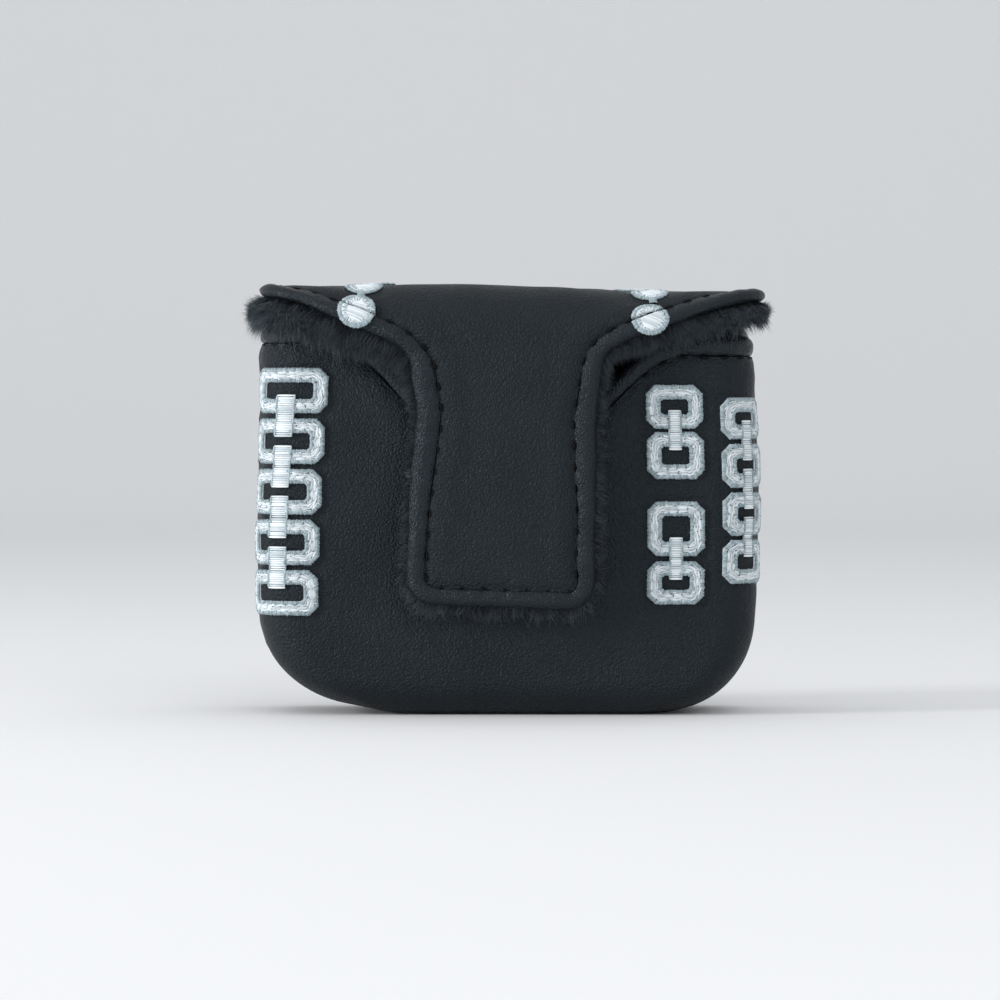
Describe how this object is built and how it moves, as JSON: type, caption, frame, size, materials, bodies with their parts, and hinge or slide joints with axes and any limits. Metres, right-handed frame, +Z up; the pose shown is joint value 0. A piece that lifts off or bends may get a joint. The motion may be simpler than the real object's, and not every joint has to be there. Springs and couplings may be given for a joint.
{
  "type": "putter head cover",
  "caption": "Square padded pouch for a mallet putter head, fur lined, with a flap that folds over the mouth and a tongue down the front held by magnets.",
  "frame": {"origin": "middle of the cover's box, on the surface that its closed end stands on", "axes": "+Z up towards the folded flap, the tongue's face looks along -Y, +X to the right as seen from the front"},
  "size_m": [0.1324, 0.0562, 0.1126],
  "materials": {
    "leather": "pebble grained, satin",
    "binding": "fine grained, satin, rolled",
    "padding": "open cell foam, matt",
    "fur": "short plush pile, matt",
    "white_thread": "satin stitch, soft gloss",
    "black_thread": "waxed thread, satin",
    "magnet": "nickel plated"
  },
  "bodies": {
    "cover": {"front_panel": "leather", "back_panel": "leather", "front_padding": "padding", "back_padding": "padding", "front_lining": "fur", "back_lining": "fur", "mouth_binding": "binding", "mouth_topstitch": "black_thread", "left_chain": "white_thread", "inner_chain_upper": "white_thread", "inner_chain_lower": "white_thread", "outer_chain": "white_thread", "pouch_magnet_left": "magnet", "pouch_magnet_right": "magnet"},
    "flap_top": {"top_leather": "leather", "top_padding": "padding", "top_lining": "fur", "top_binding_right": "binding", "top_binding_left": "binding", "top_topstitch_right": "black_thread", "top_topstitch_left": "black_thread", "bead_chain_right": "white_thread", "bead_chain_left": "white_thread"},
    "tongue": {"tongue_leather": "leather", "tongue_padding": "padding", "tongue_lining": "fur", "tongue_binding": "binding", "tongue_topstitch": "black_thread", "tongue_magnet_left": "magnet", "tongue_magnet_right": "magnet", "front_bead_left": "white_thread", "front_bead_right": "white_thread"}
  },
  "joints": [
    {"name": "flap_fold", "type": "hinge", "parent": "cover", "child": "flap_top", "pos_m": [0, 0.02539, 0.10881], "axis": [-1, 0, 0], "range_deg": [0, 120]},
    {"name": "tongue_fold", "type": "hinge", "parent": "flap_top", "child": "tongue", "pos_m": [0, -0.02172, 0.1102], "axis": [-1, 0, 0], "range_deg": [0, 80]}
  ]
}
